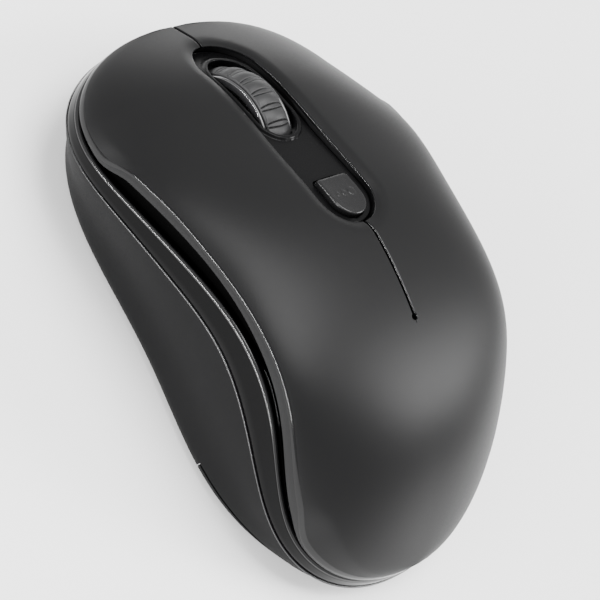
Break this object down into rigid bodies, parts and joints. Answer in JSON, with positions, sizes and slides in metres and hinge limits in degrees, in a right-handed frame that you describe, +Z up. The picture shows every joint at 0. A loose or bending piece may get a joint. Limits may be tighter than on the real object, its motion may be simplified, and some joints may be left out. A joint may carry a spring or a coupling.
{
  "type": "computer mouse",
  "caption": "Compact cordless computer mouse with flexing buttons, clickable scroll wheel, resolution key, sliding battery door and a plug-in receiver stowed under the palm.",
  "frame": {"origin": "centre of the footprint on the table", "axes": "+Z up, +Y to the button end, +X to the right of the user"},
  "size_m": [0.0672, 0.1054, 0.0368],
  "materials": {
    "base": "fine matte",
    "trim": "gloss",
    "frame": "matte",
    "cover": "satin soft touch",
    "deck": "satin",
    "key": "satin",
    "tyre": "matte rubber",
    "hub": "gloss",
    "steel": "satin",
    "board": "solder mask",
    "chip": "matte",
    "switch": "matte",
    "plunger": "satin",
    "lens": "clear",
    "lamp": "clear tinted",
    "nylon": "satin",
    "cell": "gloss wrap",
    "foot": "low friction",
    "cap": "satin",
    "plug": "plated",
    "label": "foil"
  },
  "bodies": {
    "housing": {"base_shell": "base", "trim_band": "trim", "inner_frame": "frame", "palm_cover": "cover", "centre_deck": "deck", "key_board": "board", "key_switch": "switch", "left_pivot_bracket": "nylon", "right_pivot_bracket": "nylon", "carrier_spring": "steel", "middle_switch": "switch", "main_board": "board", "sensor_chip": "chip", "sensor_lens": "lens", "sensor_lamp": "lamp", "controller_chip": "chip", "crystal": "steel", "capacitors": "chip", "battery": "cell", "battery_spring": "steel", "battery_contact": "steel", "power_switch": "steel", "front_foot": "foot", "side_feet": "foot", "sensor_ring": "hub", "label": "label", "left_switch": "switch", "right_switch": "switch", "cover_screws": "steel", "board_screws": "steel"},
    "left_button": {"left_button": "cover"},
    "right_button": {"right_button": "cover"},
    "left_plunger": {"left_plunger": "plunger"},
    "right_plunger": {"right_plunger": "plunger"},
    "wheel_carrier": {"wheel_carrier": "nylon", "carrier_pin": "steel", "encoder_case": "switch"},
    "wheel": {"wheel_tyre": "tyre", "wheel_hub": "hub", "wheel_axle": "steel"},
    "middle_plunger": {"middle_plunger": "plunger"},
    "resolution_key": {"resolution_key": "key"},
    "key_plunger": {"key_plunger": "plunger"},
    "power_slider": {"power_slider": "key"},
    "battery_door": {"battery_door": "base", "rear_foot": "foot"},
    "receiver": {"receiver_cap": "cap", "receiver_shell": "plug", "receiver_tongue": "chip"}
  },
  "joints": [
    {"name": "left_click", "type": "hinge", "parent": "housing", "child": "left_button", "pos_m": [0, -0.015, 0.0335], "axis": [-1, 0, 0], "range_deg": [0, 0.7], "stiffness_Nm_per_rad": 3, "springref_deg": -1.15},
    {"name": "left_plunger_press", "type": "slide", "parent": "housing", "child": "left_plunger", "axis": [0, 0, -1], "range_m": [0, 0.00068]},
    {"name": "right_click", "type": "hinge", "parent": "housing", "child": "right_button", "pos_m": [0, -0.015, 0.0335], "axis": [-1, 0, 0], "range_deg": [0, 0.7], "stiffness_Nm_per_rad": 3, "springref_deg": -1.15},
    {"name": "right_plunger_press", "type": "slide", "parent": "housing", "child": "right_plunger", "axis": [0, 0, -1], "range_m": [0, 0.00068]},
    {"name": "wheel_click", "type": "hinge", "parent": "housing", "child": "wheel_carrier", "pos_m": [0, 0.0123, 0.012], "axis": [-1, 0, 0], "range_deg": [0, 1.1], "stiffness_Nm_per_rad": 1.5, "springref_deg": -2.86, "deforming": ["carrier_spring"]},
    {"name": "wheel_turn", "type": "hinge", "parent": "wheel_carrier", "child": "wheel", "pos_m": [0, 0.0295, 0.0163], "axis": [1, 0, 0], "continuous": true},
    {"name": "middle_plunger_press", "type": "slide", "parent": "housing", "child": "middle_plunger", "axis": [0, 0, -1], "range_m": [0, 0.00065]},
    {"name": "key_press", "type": "slide", "parent": "housing", "child": "resolution_key", "axis": [0, 0, -1], "range_m": [0, 0.00035], "stiffness_N_per_m": 400, "springref_m": -0.0005},
    {"name": "key_plunger_press", "type": "slide", "parent": "housing", "child": "key_plunger", "axis": [0, 0, -1], "range_m": [0, 0.00036]},
    {"name": "power_slide", "type": "slide", "parent": "housing", "child": "power_slider", "axis": [1, 0, 0], "range_m": [0, 0.0024]},
    {"name": "door_slide", "type": "slide", "parent": "housing", "child": "battery_door", "axis": [0, -1, 0], "range_m": [0, 0.012]},
    {"name": "receiver_slide", "type": "slide", "parent": "housing", "child": "receiver", "axis": [0, -1, 0], "range_m": [0, 0.0075]}
  ],
  "couplings": [
    {"joint": "left_plunger_press", "follows": "left_click", "m_per_rad": 0.0545},
    {"joint": "right_plunger_press", "follows": "right_click", "m_per_rad": 0.0545},
    {"joint": "middle_plunger_press", "follows": "wheel_click", "m_per_rad": 0.0329},
    {"joint": "key_plunger_press", "follows": "key_press", "ratio": 1}
  ]
}
